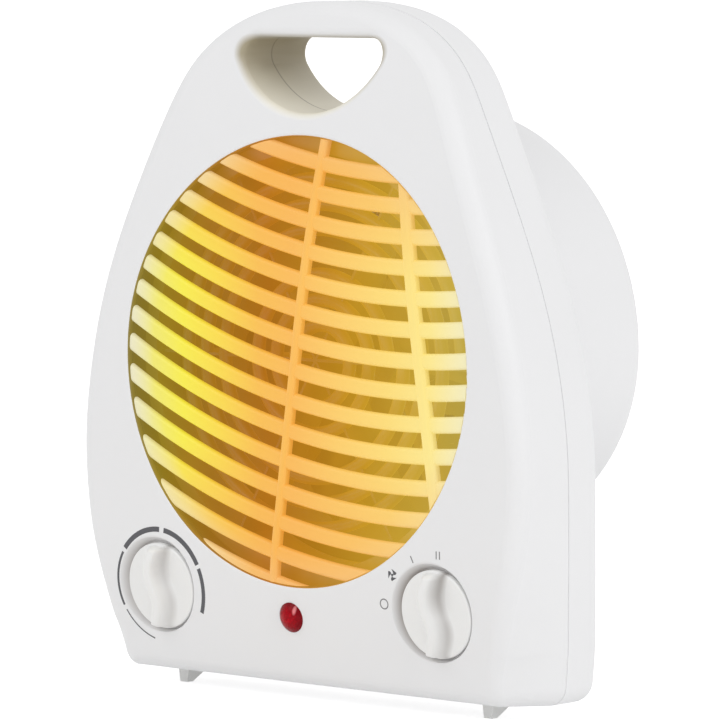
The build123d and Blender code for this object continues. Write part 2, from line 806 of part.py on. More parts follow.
# Selector: a rotary switch with ears on its posts and four tabs behind
with BuildPart() as selector_switch:
    with BuildSketch(right_panel.offset(post_back)):
        Rectangle(2 * ear_half, ear_height)
    extrude(amount=-ear_thickness)
    with BuildSketch(right_panel.offset(ear_back)):
        Rectangle(2 * switch_half, 2 * switch_half)
    extrude(amount=-switch_depth)
    with BuildSketch(right_panel.offset(post_back)):
        with Locations(*post_points):
            Circle(screw_hole)
    extrude(amount=-ear_thickness, mode=Mode.SUBTRACT)
    with BuildSketch(right_panel.offset(post_back)):
        Circle(spindle_radius + bore_gap)
    extrude(amount=-(switch_spindle_depth + end_play), mode=Mode.SUBTRACT)
save(selector_switch, "selector_switch")

with BuildPart() as switch_terminals:
    with BuildSketch(right_panel.offset(ear_back - switch_depth)):
        with GridLocations(tab_spread, tab_spread, 2, 2):
            Rectangle(tab_width, tab_thickness)
    extrude(amount=-tab_length)
save(switch_terminals, "switch_terminals")

for name, panel in (("thermostat_screws", left_panel), ("selector_screws", right_panel)):
    screws(name, panel.offset(ear_back), post_points, screw_radius, screw_head_radius,
           screw_head, ear_thickness + post_length, out=-1)

# Heater duct: a thin tube with a flange that holds the grille's ring against the face
with BuildPart() as heater_duct:
    with BuildSketch(across(duct_flange_y)):
        with Locations((0, fan_z)):
            Circle(duct_flange_radius)
        with Locations(*duct_boss_points):
            Circle(duct_ear_radius)
            Circle(screw_hole, mode=Mode.SUBTRACT)
        with Locations((0, fan_z)):
            Circle(duct_radius - duct_wall, mode=Mode.SUBTRACT)
    extrude(amount=-duct_wall)
    with BuildSketch(across(duct_flange_y)):
        with Locations((0, fan_z)):
            Circle(duct_radius)
            Circle(duct_radius - duct_wall, mode=Mode.SUBTRACT)
    extrude(amount=reach(duct_flange_y, duct_back_y))
save(heater_duct, "heater_duct")
screws("duct_screws", across(duct_flange_y + duct_wall), duct_boss_points, screw_radius,
       screw_head_radius, screw_head, duct_screw_length, out=-1)


def coil_solid(start_radius, half_turns, radius):
    """Tube along half turns that draw in by half a pitch each, about the fan's axis."""
    with BuildPart() as coil:
        with BuildLine(across(coil_y)) as path:
            for turn in range(half_turns):
                side = 1 if turn % 2 == 0 else -1
                centre_x = coil_pitch / 4 * side
                arc_radius = start_radius - coil_pitch / 4 - turn * coil_pitch / 2
                CenterArc((centre_x, fan_z), arc_radius, 180 * turn, 180)
        with BuildSketch(Plane(origin=path.line @ 0, z_dir=path.line % 0)):
            Circle(radius)
        sweep(path=path.line)
    return coil


# Two heating coils, a front spiral each, held in the slots of crossed mica plates
for name, start_radius, half_turns in (
    ("outer_heating_coil", outer_coil_start, outer_coil_half_turns),
    ("inner_heating_coil", inner_coil_start, inner_coil_half_turns),
):
    save(coil_solid(start_radius, half_turns, coil_radius), name)

outer_room = coil_solid(outer_coil_start, outer_coil_half_turns, coil_radius + coil_seat)
inner_room = coil_solid(inner_coil_start, inner_coil_half_turns, coil_radius + coil_seat)
with BuildPart() as mica_frame:
    with BuildSketch(across(mica_front_y)):
        with Locations((0, fan_z)):
            for arm in range(mica_arms):
                Rectangle(2 * (duct_radius - duct_wall - fit), mica, rotation=arm * 180 / mica_arms)
    extrude(amount=reach(mica_front_y, mica_back_y))
    add(outer_room.part, mode=Mode.SUBTRACT)
    add(inner_room.part, mode=Mode.SUBTRACT)
save(mica_frame, "mica_frame")

with BuildPart() as thermal_cutout:
    with BuildSketch(across(mica_back_y)):
        with Locations((0, fan_z)):
            Circle(cutout_radius)
    extrude(amount=-cutout_height)
save(thermal_cutout, "thermal_cutout")

with BuildPart() as thermal_fuse:
    with BuildSketch(Plane.YZ.offset(fuse_x)):
        with Locations((mica_back_y + fuse_radius, fan_z)):
            Circle(fuse_radius)
    extrude(amount=fuse_length)
save(thermal_fuse, "thermal_fuse")

# Fan: six twisted blades on a hub, a clip in front of it, and the shaft with the rotor
fan_middle_y = (fan_front_y + fan_back_y) / 2
with BuildPart() as blade:
    for radius, chord, angle in (
        (fan_hub_radius - blade_thickness, blade_root_chord, blade_root_angle),
        (fan_radius + blade_thickness, blade_tip_chord, blade_tip_angle),
    ):
        with BuildSketch(Plane(origin=(radius, fan_middle_y, fan_z), x_dir=(0, 0, 1),
                               z_dir=(1, 0, 0))):
            Rectangle(chord, blade_thickness, rotation=angle)
    loft()

with BuildPart() as fan_impeller:
    for turn in range(blade_count):
        add(blade.part.rotate(fan_axis, turn * 360 / blade_count))
    with BuildSketch(across(fan_front_y)):
        with Locations((0, fan_z)):
            Circle(fan_radius)
    extrude(amount=reach(fan_front_y, fan_back_y), mode=Mode.INTERSECT)
    with BuildSketch(across(fan_front_y)):
        with Locations((0, fan_z)):
            Circle(fan_hub_radius)
    extrude(amount=reach(fan_front_y, fan_back_y))
    with BuildSketch(across(fan_front_y)):
        with Locations((0, fan_z)):
            Circle(shaft_radius + fit)
    extrude(amount=reach(fan_front_y, fan_back_y), mode=Mode.SUBTRACT)
save(fan_impeller, "fan_impeller")


def collar(name, front_y, back_y, outer, inner):
    """Round piece about the fan's axis from front_y to back_y, with a bore where inner is set."""
    with BuildPart() as piece:
        with BuildSketch(across(front_y)):
            with Locations((0, fan_z)):
                Circle(outer)
                if inner:
                    Circle(inner, mode=Mode.SUBTRACT)
        extrude(amount=reach(front_y, back_y))
    save(piece, name)


bush_front_y = bridge_back_y + end_play
bush_back_y = motor_back_y - end_play
rotor_bore = shaft_radius + fit
collar("fan_clip", fan_front_y - clip_length, fan_front_y, clip_radius, rotor_bore)
collar("motor_shaft", shaft_front_y, bush_back_y, shaft_radius, 0)
collar("motor_rotor", stator_front_y + end_play, stator_back_y - end_play, rotor_radius,
       rotor_bore)
collar("front_bush", bush_front_y, bush_front_y + bush_length, bush_radius,
       shaft_radius + running_gap)
collar("rear_bush", bush_back_y - bush_length, bush_back_y, bush_radius,
       shaft_radius + running_gap)

# Motor bridge: a flat strap from post to post across the drum
motor_screw_points = ((-motor_screw_x, fan_z), (motor_screw_x, fan_z))
with BuildPart() as motor_bridge:
    with BuildSketch(across(bridge_y)):
        with Locations((0, fan_z)):
            SlotCenterToCenter(2 * bridge_post_x, 2 * bridge_end)
            Rectangle(2 * bridge_post_x - 2 * bridge_end, bridge_width)
            Circle(bridge_hole, mode=Mode.SUBTRACT)
        with Locations(*bridge_points):
            Circle(screw_hole, mode=Mode.SUBTRACT)
        with Locations(*motor_screw_points):
            Circle(screw_hole, mode=Mode.SUBTRACT)
    extrude(amount=-bridge_thickness)
save(motor_bridge, "motor_bridge")
screws("bridge_screws", across(bridge_y), bridge_points, screw_radius, screw_head_radius,
       screw_head, bridge_screw_length)

# Bearing brackets: a strap on two legs against the stator, with a cup for the bush
for name, strap_y, side in (
    ("front_bearing_bracket", bridge_back_y, 1),
    ("rear_bearing_bracket", motor_back_y, -1),
):
    with BuildPart() as bracket:
        with BuildSketch(across(strap_y)):
            with Locations((0, fan_z)):
                SlotCenterToCenter(2 * motor_screw_x, bracket_width)
        extrude(amount=-side * bracket_thickness)
        with BuildSketch(across(strap_y)):
            with Locations(*motor_screw_points):
                Circle(leg_radius)
        extrude(amount=-side * (bracket_thickness + bracket_stand))
        with BuildSketch(across(strap_y)):
            with Locations((0, fan_z)):
                Circle(cup_radius)
        extrude(amount=-side * (bush_length + 2 * end_play))
        with BuildSketch(across(strap_y)):
            with Locations((0, fan_z)):
                Circle(bush_radius + fit)
            with Locations(*motor_screw_points):
                Circle(screw_hole)
        extrude(amount=-side * (bracket_thickness + bracket_stand), mode=Mode.SUBTRACT)
    save(bracket, name)

# Motor: a laminated frame with the winding on its lower limb
limb_z = fan_z - (window_bottom + stator_bottom) / 2
limb_height = stator_bottom - window_bottom
stator_middle_y = (stator_front_y + stator_back_y) / 2
with BuildPart() as motor_stator:
    with BuildSketch(across(stator_front_y)):
        with Locations((0, fan_z + (stator_top - stator_bottom) / 2)):
            Rectangle(2 * stator_half_width, stator_top + stator_bottom)
        with Locations((0, fan_z - (window_top + window_bottom) / 2)):
            Rectangle(2 * window_half, window_bottom - window_top, mode=Mode.SUBTRACT)
        with Locations((0, fan_z)):
            Circle(rotor_radius + air_gap, mode=Mode.SUBTRACT)
        with Locations(*motor_screw_points):
            Circle(screw_hole, mode=Mode.SUBTRACT)
    extrude(amount=-stator_depth)
save(motor_stator, "motor_stator")


def limb_block(half_length, grow):
    """Block around the motor's lower limb, larger than the limb by grow on all four sides."""
    with BuildPart() as block:
        with BuildSketch(Plane.YZ):
            with Locations((stator_middle_y, limb_z)):
                Rectangle(stator_depth + 2 * grow, limb_height + 2 * grow)
        extrude(amount=half_length, both=True)
    return block.part


bobbin_half = winding_half + bobbin_wall
with BuildPart() as motor_bobbin:
    add(limb_block(bobbin_half, winding_bulge))
    add(limb_block(winding_half, winding_bulge), mode=Mode.SUBTRACT)
    add(limb_block(bobbin_half, bobbin_wall))
    add(limb_block(bobbin_half, fit), mode=Mode.SUBTRACT)
save(motor_bobbin, "motor_bobbin")

with BuildPart() as motor_winding:
    add(limb_block(winding_half, winding_bulge))
    add(limb_block(winding_half, bobbin_wall), mode=Mode.SUBTRACT)
save(motor_winding, "motor_winding")

screws("motor_screws", across(motor_back_y), motor_screw_points, screw_radius,
       screw_head_radius, screw_head, motor_back_y - bridge_y, out=-1)

screws("housing_screws", across(case_seat_y), case_points, case_screw_radius,
       case_head_radius, case_head, case_screw_length, out=-1)

# Cord inlet and the terminal block inside it
with BuildPart() as cord_gland:
    with BuildSketch(across(body_back_y)):
        with Locations((0, gland_z)):
            Circle(gland_flange)
    extrude(amount=-gland_flange_thickness)
    with BuildSketch(across(body_back_y)):
        with Locations((0, gland_z)):
            Circle(gland_body)
    extrude(amount=gland_length - gland_flange_thickness)
    with BuildSketch(across(body_back_y + gland_flange_thickness)):
        with Locations((0, gland_z)):
            Circle(gland_bore)
    extrude(amount=gland_length, mode=Mode.SUBTRACT)
save(cord_gland, "cord_gland")

with BuildPart() as terminal_block:
    with BuildSketch(Plane.XY.offset(floor_gap + wall)):
        with Locations((terminal_x, terminal_y)):
            Rectangle(terminal_length, terminal_depth)
    extrude(amount=terminal_height)
    with BuildSketch(across(terminal_y - terminal_depth / 2)):
        with Locations((terminal_x, floor_gap + wall + terminal_height / 2)):
            with GridLocations(terminal_length / terminal_ways, terminal_height, terminal_ways, 1):
                Circle(terminal_hole)
    extrude(amount=-terminal_depth, mode=Mode.SUBTRACT)
save(terminal_block, "terminal_block")
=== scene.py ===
import json
import math

import bmesh
import bpy
from mathutils import Matrix, Vector


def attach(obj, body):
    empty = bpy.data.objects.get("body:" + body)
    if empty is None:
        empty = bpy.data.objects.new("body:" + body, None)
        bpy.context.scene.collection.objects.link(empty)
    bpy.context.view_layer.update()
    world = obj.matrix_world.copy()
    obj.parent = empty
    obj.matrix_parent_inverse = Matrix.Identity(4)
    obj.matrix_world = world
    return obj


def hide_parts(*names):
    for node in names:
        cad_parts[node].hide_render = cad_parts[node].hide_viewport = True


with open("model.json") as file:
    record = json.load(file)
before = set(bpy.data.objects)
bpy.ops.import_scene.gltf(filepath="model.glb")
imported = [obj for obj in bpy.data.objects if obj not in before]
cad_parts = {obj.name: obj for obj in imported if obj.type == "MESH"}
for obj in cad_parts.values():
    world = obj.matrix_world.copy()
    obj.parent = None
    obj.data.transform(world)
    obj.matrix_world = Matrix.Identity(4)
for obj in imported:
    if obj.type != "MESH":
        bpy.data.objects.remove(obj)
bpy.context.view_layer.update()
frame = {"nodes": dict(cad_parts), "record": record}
nodes = frame["nodes"]
mm = 0.001
print("frame loaded:", len(nodes), "nodes")


def linear(red, green, blue):
    channels = []
    for value in (red / 255, green / 255, blue / 255):
        channels.append(value / 12.92 if value <= 0.04045 else ((value + 0.055) / 1.055) ** 2.4)
    return (*channels, 1.0)


class Wire:
    def __init__(self, tree, socket):
        self.tree = tree
        self.socket = socket

    def maths(self, operation, *others):
        values = dict(enumerate((self, *others)))
        return self.tree.add("ShaderNodeMath", {"operation": operation}, values).out(0)

    def __add__(self, other):
        return self.maths("ADD", other)

    def __mul__(self, other):
        return self.maths("MULTIPLY", other)

    def __sub__(self, other):
        return self.maths("SUBTRACT", other)

    def __truediv__(self, other):
        return self.maths("DIVIDE", other)

    def __rsub__(self, other):
        return self * -1 + other

    def __pow__(self, other):
        return self.maths("POWER", other)

    __radd__ = __add__
    __rmul__ = __mul__


class Placed:
    def __init__(self, tree, node):
        self.tree = tree
        self.node = node

    def out(self, key):
        return Wire(self.tree, self.node.outputs[key])


class Tree:
    def __init__(self, nodeTree):
        self.nodeTree = nodeTree
        nodeTree.nodes.clear()

    def add(self, kind, settings=None, values=None):
        node = self.nodeTree.nodes.new(kind)
        for key, value in (settings or {}).items():
            if key == "stops":  # a colour ramp's stops: (place, colour)
                ramp = node.color_ramp.elements
                while len(ramp) < len(value):
                    ramp.new(0.5)
                for element, (place, colour) in zip(ramp, value):
                    element.position = place
                    element.color = colour
            else:
                setattr(node, key, value)
        for key, value in (values or {}).items():
            if isinstance(value, Wire):
                self.nodeTree.links.new(value.socket, node.inputs[key])
            else:
                node.inputs[key].default_value = value
        return Placed(self, node)


class Shader(Tree):
    def __init__(self, owner):  # a material or a world
        owner.use_nodes = True
        super().__init__(owner.node_tree)
        self.owner = owner

    def place(self):
        return self.add("ShaderNodeTexCoord").out("Object")

    def split(self):
        split = self.add("ShaderNodeSeparateXYZ", values={0: self.place()})
        return split.out("X"), split.out("Y"), split.out("Z")

    def noise(self, size, detail=2.0):
        values = {"Vector": self.place(), "Scale": 1 / size, "Detail": detail}
        return self.add("ShaderNodeTexNoise", values=values).out("Fac")

    def spread(self, wire, low, high, toLow=0.0, toHigh=1.0):
        values = {"Value": wire, "From Min": low, "From Max": high,
                  "To Min": toLow, "To Max": toHigh}
        return self.add("ShaderNodeMapRange", values=values).out("Result")

    def mix(self, factor, first, second):
        values = {"Factor": factor, 6: first, 7: second}
        return self.add("ShaderNodeMix", {"data_type": "RGBA"}, values).out(2)

    def bump(self, height, strength, distance):
        values = {"Height": height, "Strength": strength, "Distance": distance}
        return self.add("ShaderNodeBump", values=values).out("Normal")

    def seen(self):  # 1 where the camera looks, straight or by a reflection or through glass
        rays = self.add("ShaderNodeLightPath")
        seen = rays.out("Is Camera Ray").maths("MAXIMUM", rays.out("Is Glossy Ray"))
        return seen.maths("MAXIMUM", rays.out("Is Transmission Ray"))

    def finish(self, **values):
        named = {key.replace("_", " "): value for key, value in values.items()}
        surface = self.add("ShaderNodeBsdfPrincipled", values=named)
        self.add("ShaderNodeOutputMaterial", values={"Surface": surface.out("BSDF")})
        return self.owner


def newShader(name):
    return Shader(bpy.data.materials.new(name))


# Sizes that several pieces share, in millimetres
face = {"front": -42.5, "chinZ": 62, "chinRadius": 193, "browZ": 131, "browRadius": 536}
slot = {"z": 248.4, "radius": 37.9, "top": 237.2, "corner": 7.5, "seamY": -17.0, "backY": 2.6}
drum = {"z": 126.0, "radius": 85.5, "lowRadius": 69.0, "wall": 2.2,
        "frontY": -32.0, "edgeY": 45.0, "edgeRoom": 0.8, "endY": 49.1}
dish = {"x": 65.4, "z": 37.7, "shift": (-1.8, 0.5), "dark": 14.4, "mouth": 18.3, "backY": -30.0}
outlet = {"z": 122.5, "radius": 80.0, "ringInner": 79.7, "ringOuter": 84.2, "ringSunk": 2.4,
          "back": -33.3, "lipY": -42.4, "backY": 1.5, "room": 0.3, "steps": 192}


def faceDepth(z):
    if z < face["chinZ"]:
        radius, drop = face["chinRadius"], face["chinZ"] - z
    elif z > face["browZ"]:
        radius, drop = face["browRadius"], z - face["browZ"]
    else:
        return face["front"]
    return face["front"] + radius - math.sqrt(radius ** 2 - drop ** 2)


# Finishes, with painted shade in the slot, the dishes and on the grips, and the heater's glow
# painted as colour and emission
satin = {
    "shell": linear(236, 236, 237),
    "knob": (linear(235, 235, 234), linear(240, 240, 239)),
    "knobShade": linear(132, 124, 118),
    "knobRoughness": (0.36, 0.42),
    # painted shade in the carrying slot: dark high up, light low down, and a line of shade along
    # the shells' join
    "slotHigh": linear(168, 158, 134),
    "slotLow": linear(243, 238, 222),
    "slotSeam": linear(120, 112, 96),
    "slotFade": (213, 231),  # the heights between which the slot's shade deepens
    "slotEdge": (0.2, 2.6, 1.2),  # where the shade begins and ends, and its room above
    "seamWidth": (0.1, 0.5),
    # painted shade in the knobs' dishes
    "dishShade": linear(136, 125, 116),
    "dishLevel": (0.68, 0.96),  # left, right
    "dishFade": (-4.0, 12.0, 0.3),  # across the dish, down to a last share
    "grain": 0.0006,
    "grainBump": (0.25, 0.00002),  # strength, height
    "wave": 0.03,
    "waveRange": (0.3, 0.7),
    "roughness": 0.5,
}
# The heater's glow, painted as colour and emission on the slats, the parts inside the outlet and
# the shell's inside faces
glow = {
    "low": -0.08, "high": 0.08,  # the outlet's width, which the two ramps run across
    "slats": [(0.0, linear(236, 230, 190)), (0.08, linear(243, 234, 110)),
              (0.17, linear(250, 238, 66)), (0.28, linear(252, 220, 66)),
              (0.4, linear(251, 192, 72)), (0.5, linear(252, 188, 82)),
              (0.63, linear(254, 206, 100)), (0.78, linear(255, 222, 118)),
              (0.9, linear(255, 234, 142)), (1.0, linear(248, 240, 190))],
    "gaps": [(0.0, linear(128, 114, 46)), (0.1, linear(146, 124, 30)),
             (0.25, linear(158, 112, 25)), (0.42, linear(172, 110, 25)),
             (0.56, linear(178, 124, 26)), (0.72, linear(188, 145, 36)),
             (0.86, linear(191, 158, 54)), (1.0, linear(188, 166, 72))],
    "drift": 0.87,  # deeper surfaces take their colour from further right
    "ember": linear(250, 178, 76),
    "rim": linear(240, 236, 214),
    "black": (0, 0, 0, 1),
    # the near-black base under the painted glow, and how much of it is taken
    "glowBase": (0.02, 0.015, 0.01, 1),
    "glowBaseShare": 0.78,
    "warmEnds": (0.03, 0.075, 0, 0.75),  # slats turn to ember above and below the middle
    "rimReach": (0.068, 0.082),
    "rimSide": (-0.05, -0.02, 0.6, 0.12),  # the painted glow pales to the rim's colour only at the left
    "slatDark": 0.35,
    "insideRange": (0.9, 1.04),
    "slatPower": 0.34, "insideGlowPower": 0.86, "insidePower": 0.9,
}


def acrossOutlet(shader, stops):
    x, y, up = shader.split()
    drifted = x + (y - face["front"] * mm) * glow["drift"]
    return shader.add("ShaderNodeValToRGB", {"stops": stops},
                      {0: shader.spread(drifted, glow["low"], glow["high"])}).out("Color")


def outletReach(x, up):
    z = up - outlet["z"] * mm
    return (x * x + z * z) ** 0.5


def darkUnderGlow(shader, ramp):  # the base colour is taken nearly to black, so that the painted glow in the emission carries the colour
    return shader.mix(glow["glowBaseShare"], ramp, glow["glowBase"])


def satinGrain(shader):
    return shader.bump(shader.noise(satin["grain"], 2), *satin["grainBump"])


def satinWave(shader, low, high):  # slow changes, and the roughness that follows them
    wave = shader.noise(satin["wave"], 3)
    return wave, shader.spread(wave, *satin["waveRange"], low, high)


def satinPlastic(name, colour, roughness=satin["roughness"]):
    shader = newShader(name)
    wave, dull = satinWave(shader, roughness - 0.03, roughness + 0.04)
    darker = tuple(channel * 0.97 for channel in colour[:3]) + (1.0,)
    return shader.finish(Base_Color=shader.mix(wave, darker, colour), Roughness=dull,
                         Normal=satinGrain(shader))


def knobPlastic(name):
    shader = newShader(name)
    wave, dull = satinWave(shader, *satin["knobRoughness"])
    shade = shader.add("ShaderNodeAttribute", {"attribute_name": "shade"}).out("Fac")
    white = shader.mix(wave, *satin["knob"])
    return shader.finish(Base_Color=shader.mix(shade, white, satin["knobShade"]),
                         Roughness=dull, Normal=satinGrain(shader))


# Painted glow on the slats: yellow to orange across the outlet, warmer above and below the middle,
# paler at the left rim, as colour and emission
def litPlastic(name):
    shader = newShader(name)
    ramp = acrossOutlet(shader, glow["slats"])
    x, y, up = shader.split()
    away = (up - outlet["z"] * mm).maths("ABSOLUTE")
    warm = shader.mix(shader.spread(away, *glow["warmEnds"]), ramp, glow["ember"])
    rim = shader.spread(outletReach(x, up), *glow["rimReach"]) * shader.spread(x, *glow["rimSide"])
    glowTint = shader.mix(rim, warm, glow["rim"])
    return shader.finish(
        Base_Color=shader.mix(glow["slatDark"], glowTint, glow["black"]), Emission_Color=glowTint,
        Emission_Strength=glow["slatPower"], Roughness=0.42, Normal=satinGrain(shader),
    )


# Painted glow: the parts inside the outlet emit the gaps' colour, as if lit by the heater
def litInside(name, level, metallic=0.0, roughness=0.5):
    shader = newShader(name)
    ramp = acrossOutlet(shader, glow["gaps"])
    low, high = (share * level for share in glow["insideRange"])
    dim = shader.spread(shader.noise(0.02, 3), *satin["waveRange"], low, high)
    dimmed = shader.add("ShaderNodeVectorMath", {"operation": "SCALE"},
                        {0: ramp, "Scale": dim}).out("Vector")
    return shader.finish(
        Base_Color=darkUnderGlow(shader, ramp), Emission_Color=dimmed,
        Emission_Strength=glow["insidePower"], Metallic=metallic, Roughness=roughness,
    )


def insideDrum(x, y, up):  # a circle above, drawn in below by two tighter arcs and a wide one
    shift = (drum["radius"] - drum["lowRadius"]) * mm
    pastEdge = y.maths("GREATER_THAN", drum["edgeY"] * mm)
    room = drum["wall"] * mm / 2 + pastEdge * (drum["edgeRoom"] * mm)
    side, rise = x.maths("ABSOLUTE"), up - drum["z"] * mm
    upper = (x * x + rise * rise) ** 0.5
    corner = ((side - shift) * (side - shift) + rise * rise) ** 0.5
    lowRise = rise - shift
    low = (x * x + lowRise * lowRise) ** 0.5
    lowRadius = drum["lowRadius"] * mm + shift * math.sqrt(2) - room
    inCorner = corner.maths("LESS_THAN", drum["lowRadius"] * mm - room)
    inLow = low.maths("LESS_THAN", lowRadius) * (shift - rise).maths("GREATER_THAN", side)
    below = rise.maths("LESS_THAN", 0.0) * inCorner.maths("MAXIMUM", inLow)
    above = rise.maths("GREATER_THAN", 0.0) * upper.maths(
        "LESS_THAN", drum["radius"] * mm - room)
    return below.maths("MAXIMUM", above) * y.maths("GREATER_THAN", drum["frontY"] * mm)


def insideSlot(shader, x, y, up):  # 1 in the carrying slot, where its shade is painted, fading just outside its edge
    hang = up - slot["z"] * mm
    bowl = (x * x + hang * hang) ** 0.5 - slot["radius"] * mm
    fadeStart, fadeEnd, roomAbove = (length * mm for length in satin["slotEdge"])
    corners = slot["corner"] * mm
    pastBowl = bowl + corners
    pastTop = up - (slot["top"] * mm - roomAbove - corners)
    squares = pastBowl.maths("MAXIMUM", 0.0) ** 2 + pastTop.maths("MAXIMUM", 0.0) ** 2
    outside = squares ** 0.5 + pastBowl.maths("MAXIMUM", pastTop).maths("MINIMUM", 0.0) - corners
    return shader.spread(outside, fadeStart, fadeEnd, 1.0, 0.0) \
        * y.maths("LESS_THAN", slot["backY"] * mm)


# Painted shade in the slot: darker high up, lighter low down
def slotShade(shader, y, up):
    low, high = (height * mm for height in satin["slotFade"])
    shade = shader.mix(shader.spread(up, low, high), satin["slotLow"], satin["slotHigh"])
    near, far = (width * mm for width in satin["seamWidth"])
    join = (y - slot["seamY"] * mm).maths("ABSOLUTE")  # the shells' join, drawn as a line of painted shade
    return shader.mix(shader.spread(join, near, far, 0.6, 0.0), shade, satin["slotSeam"])


def insideDish(shader, x, y, up):  # painted shade in the knobs' dishes: deepens towards the disc, and fades to the right
    shiftX, shiftZ = dish["shift"]
    climb = up - (dish["z"] + shiftZ) * mm
    toRight = x - (dish["x"] + shiftX) * mm
    toLeft = x + (dish["x"] - shiftX) * mm
    near = toRight.maths("ABSOLUTE").maths("MINIMUM", toLeft.maths("ABSOLUTE"))
    within = (near * near + climb * climb) ** 0.5
    deep = shader.spread(within, dish["dark"] * mm, dish["mouth"] * mm, 1.0, 0.0) \
        * y.maths("LESS_THAN", dish["backY"] * mm)
    atRight = x.maths("GREATER_THAN", 0.0)
    across = toLeft + (toRight - toLeft) * atRight
    start, end, last = satin["dishFade"]
    leftLevel, rightLevel = satin["dishLevel"]
    return deep * shader.spread(across, start * mm, end * mm, 1.0, last) \
        * (atRight * (rightLevel - leftLevel) + leftLevel)


def shellPlastic(name):
    shader = newShader(name)
    wave, dull = satinWave(shader, satin["roughness"] - 0.03, satin["roughness"] + 0.04)
    darker = tuple(channel * 0.975 for channel in satin["shell"][:3]) + (1.0,)
    ramp = acrossOutlet(shader, glow["gaps"])
    x, y, up = shader.split()
    inMouth = outletReach(x, up).maths("LESS_THAN", (outlet["radius"] + outlet["room"]) * mm) \
        * y.maths("GREATER_THAN", outlet["lipY"] * mm) * y.maths("LESS_THAN", outlet["backY"] * mm)
    # painted glow on the faces inside the drum and in the outlet's mouth
    lit = insideDrum(x, y, up).maths("MAXIMUM", inMouth) * y.maths("LESS_THAN", drum["endY"] * mm)
    plain = shader.mix(wave, darker, satin["shell"])
    # painted shade in the carrying slot
    plain = shader.mix(insideSlot(shader, x, y, up), plain, slotShade(shader, y, up))
    # painted shade in the knobs' dishes
    plain = shader.mix(insideDish(shader, x, y, up), plain, satin["dishShade"])
    return shader.finish(
        Base_Color=shader.mix(lit, plain, darkUnderGlow(shader, ramp)),
        Emission_Color=shader.mix(lit, glow["black"], ramp),
        Emission_Strength=glow["insideGlowPower"], Roughness=dull, Normal=satinGrain(shader),
    )


def insideLitPlastic(name):  # white outside, with painted glow on the side that faces into the drum
    shader = newShader(name)
    ramp = acrossOutlet(shader, glow["gaps"])
    x, y, up = shader.split()
    lit = y.maths("LESS_THAN", drum["endY"] * mm)
    return shader.finish(
        Base_Color=shader.mix(lit, satin["shell"], darkUnderGlow(shader, ramp)),
        Emission_Color=shader.mix(lit, glow["black"], ramp),
        Emission_Strength=glow["insideGlowPower"], Roughness=satin["roughness"],
        Normal=satinGrain(shader),
    )


def plainMetal(name, colour, roughness):
    shader = newShader(name)
    streak = shader.noise(0.0004, 4)
    return shader.finish(
        Base_Color=colour, Metallic=1.0,
        Roughness=shader.spread(streak, 0.3, 0.7, roughness - 0.06, roughness + 0.08),
        Normal=shader.bump(streak, 0.2, 0.00003),
    )


lens = {"x": -2.7, "z": 31.2, "radius": 5.5, "core": 2.0, "facet": 0.9,
        "red": (linear(176, 4, 24), linear(146, 0, 16)), "edge": linear(90, 0, 10),
        "edgeShare": 0.75, "gleam": (2.9, 2.9), "gleamSize": (0.7, 1.7), "gleamShare": 0.85,
        "gleamColour": linear(206, 140, 142), "dimShare": 0.85}


def redLens(name):
    shader = newShader(name)
    cells = shader.add("ShaderNodeTexVoronoi", values={
        "Vector": shader.place(), "Scale": 1 / (lens["facet"] * mm)}).out("Distance")
    facet = shader.spread(cells, 0.1, 0.6)
    x, y, up = shader.split()
    u, v = x - lens["x"] * mm, up - lens["z"] * mm
    # painted shade: the lens darkens towards its rim
    edge = shader.spread((u * u + v * v) ** 0.5, lens["core"] * mm, lens["radius"] * mm,
                         0, lens["edgeShare"])
    red = shader.mix(edge, shader.mix(facet, *lens["red"]), lens["edge"])

    # An upright gleam at the upper right
    (gleamX, gleamZ), (halfWidth, halfHeight) = lens["gleam"], lens["gleamSize"]
    aside = ((u - gleamX * mm) / (halfWidth * mm)) ** 2
    along = ((v - gleamZ * mm) / (halfHeight * mm)) ** 2
    gleam = shader.spread(aside + along, 0.1, 1.3, lens["gleamShare"], 0.0)
    dimRed = shader.mix(lens["dimShare"], red, glow["black"])
    return shader.finish(
        Base_Color=red, Roughness=0.2, Specular_IOR_Level=0.1,
        Emission_Color=shader.mix(gleam, dimRed, lens["gleamColour"]),
        Emission_Strength=1.0, Normal=shader.bump(facet, 0.12, 0.0002),
    )


shellWhite = shellPlastic("shellWhite")
knobWhite = knobPlastic("knobWhite")
gripGrey = satinPlastic("gripGrey", linear(150, 150, 152))
# painted light: the feet are whiter than the shell, to lift the shade that falls on them
footPaintedLight = satinPlastic("footPaintedLight", linear(246, 246, 244))
darkPlastic = satinPlastic("darkPlastic", linear(38, 38, 40), 0.5)
zinc = plainMetal("zincSteel", linear(200, 200, 196), 0.32)
bronze = plainMetal("bronze", linear(170, 130, 80), 0.5)
litSlat = litPlastic("litSlat")
litDuct = litInside("litDuct", 1.0)
litRing = litInside("litRing", 0.85)
litMica = litInside("litMica", 0.97)
litCoil = litInside("litCoil", 1.05, 0.1, 0.45)
litFan = litInside("litFan", 0.95)
litMotor = litInside("litMotor", 0.9, 0.1)
printGrey = satinPlastic("printGrey", linear(84, 84, 88), 0.6)
markGrey = satinPlastic("markGrey", linear(126, 125, 126), 0.6)
print("finishes made")

